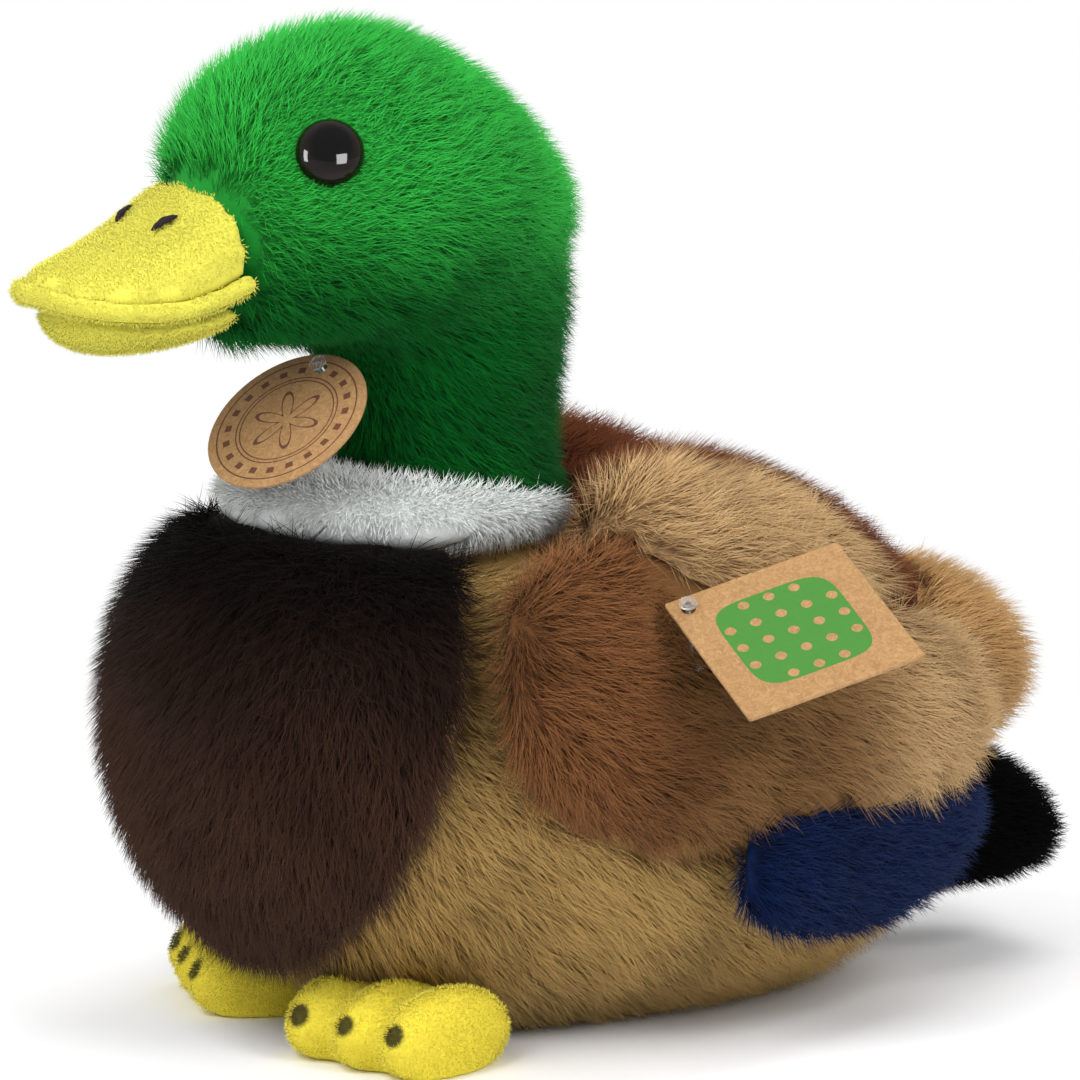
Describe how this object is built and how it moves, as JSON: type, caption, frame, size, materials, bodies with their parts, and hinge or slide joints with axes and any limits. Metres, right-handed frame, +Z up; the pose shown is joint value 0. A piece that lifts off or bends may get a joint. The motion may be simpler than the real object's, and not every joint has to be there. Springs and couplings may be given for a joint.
{
  "type": "plush duck",
  "caption": "Seated plush drake with stuffed lobes sewn together, plastic eyes, a head that turns, wings that lift, and hanging card tags.",
  "frame": {"origin": "on the flat underside of the body, where the toy rests, below the middle of the body", "axes": "+Z up, -Y the way the beak points, +X the drake's left side"},
  "size_m": [0.161, 0.2251, 0.1938],
  "materials": {
    "green_plush": "short shiny pile",
    "white_plush": "short pile",
    "dark_brown_plush": "long pile",
    "tan_plush": "long pile",
    "red_brown_plush": "long pile",
    "rust_plush": "long pile",
    "light_tan_plush": "long pile",
    "blue_plush": "long pile",
    "black_plush": "long pile",
    "yellow_plush": "very short pile",
    "dark_thread": "embroidered",
    "bag_cloth": "woven",
    "eye_plastic": "glossy",
    "washer_plastic": "matte",
    "pin_plastic": "translucent",
    "kraft_card": "uncoated card"
  },
  "bodies": {
    "body": {"body": "tan_plush", "pellet_bag": "bag_cloth", "breast": "dark_brown_plush", "back_panel": "red_brown_plush", "rump": "tan_plush", "tail": "black_plush", "neck": "green_plush", "collar": "white_plush", "left_foot": "yellow_plush", "right_foot": "yellow_plush"},
    "head": {"head": "green_plush", "left_eye": "eye_plastic", "right_eye": "eye_plastic", "left_eye_washer": "washer_plastic", "right_eye_washer": "washer_plastic", "upper_beak": "yellow_plush", "beak_rim": "yellow_plush", "lower_beak": "yellow_plush", "left_nostril": "dark_thread", "right_nostril": "dark_thread", "round_tag_fastener": "pin_plastic"},
    "left_wing": {"left_wing_side": "rust_plush", "left_wing_top": "light_tan_plush", "left_speculum": "blue_plush", "square_tag_fastener": "pin_plastic"},
    "right_wing": {"right_wing_side": "rust_plush", "right_wing_top": "light_tan_plush", "right_speculum": "blue_plush"},
    "round_tag": {"round_tag": "kraft_card"},
    "square_tag": {"square_tag": "kraft_card"}
  },
  "joints": [
    {"name": "head_turn", "type": "hinge", "parent": "body", "child": "head", "pos_m": [0, -0.02395, 0.11757], "axis": [0, 0, 1], "range_deg": [-12, 12], "stiffness_Nm_per_rad": 0.05},
    {"name": "left_wing_lift", "type": "hinge", "parent": "body", "child": "left_wing", "pos_m": [0.01051, 0.03401, 0.105], "axis": [0, -1, 0], "range_deg": [0, 35], "stiffness_Nm_per_rad": 0.02},
    {"name": "right_wing_lift", "type": "hinge", "parent": "body", "child": "right_wing", "pos_m": [-0.01051, 0.03401, 0.105], "axis": [0, 1, 0], "range_deg": [0, 35], "stiffness_Nm_per_rad": 0.02},
    {"name": "round_tag_swing", "type": "hinge", "parent": "head", "child": "round_tag", "pos_m": [0.00815, -0.05199, 0.12938], "axis": [-0.9376, -0.3478, 0], "range_deg": [0, 30]},
    {"name": "square_tag_swing", "type": "hinge", "parent": "left_wing", "child": "square_tag", "pos_m": [0.06119, -0.0035, 0.08738], "axis": [0.5134, -0.693, -0.5063], "range_deg": [0, 30]}
  ]
}
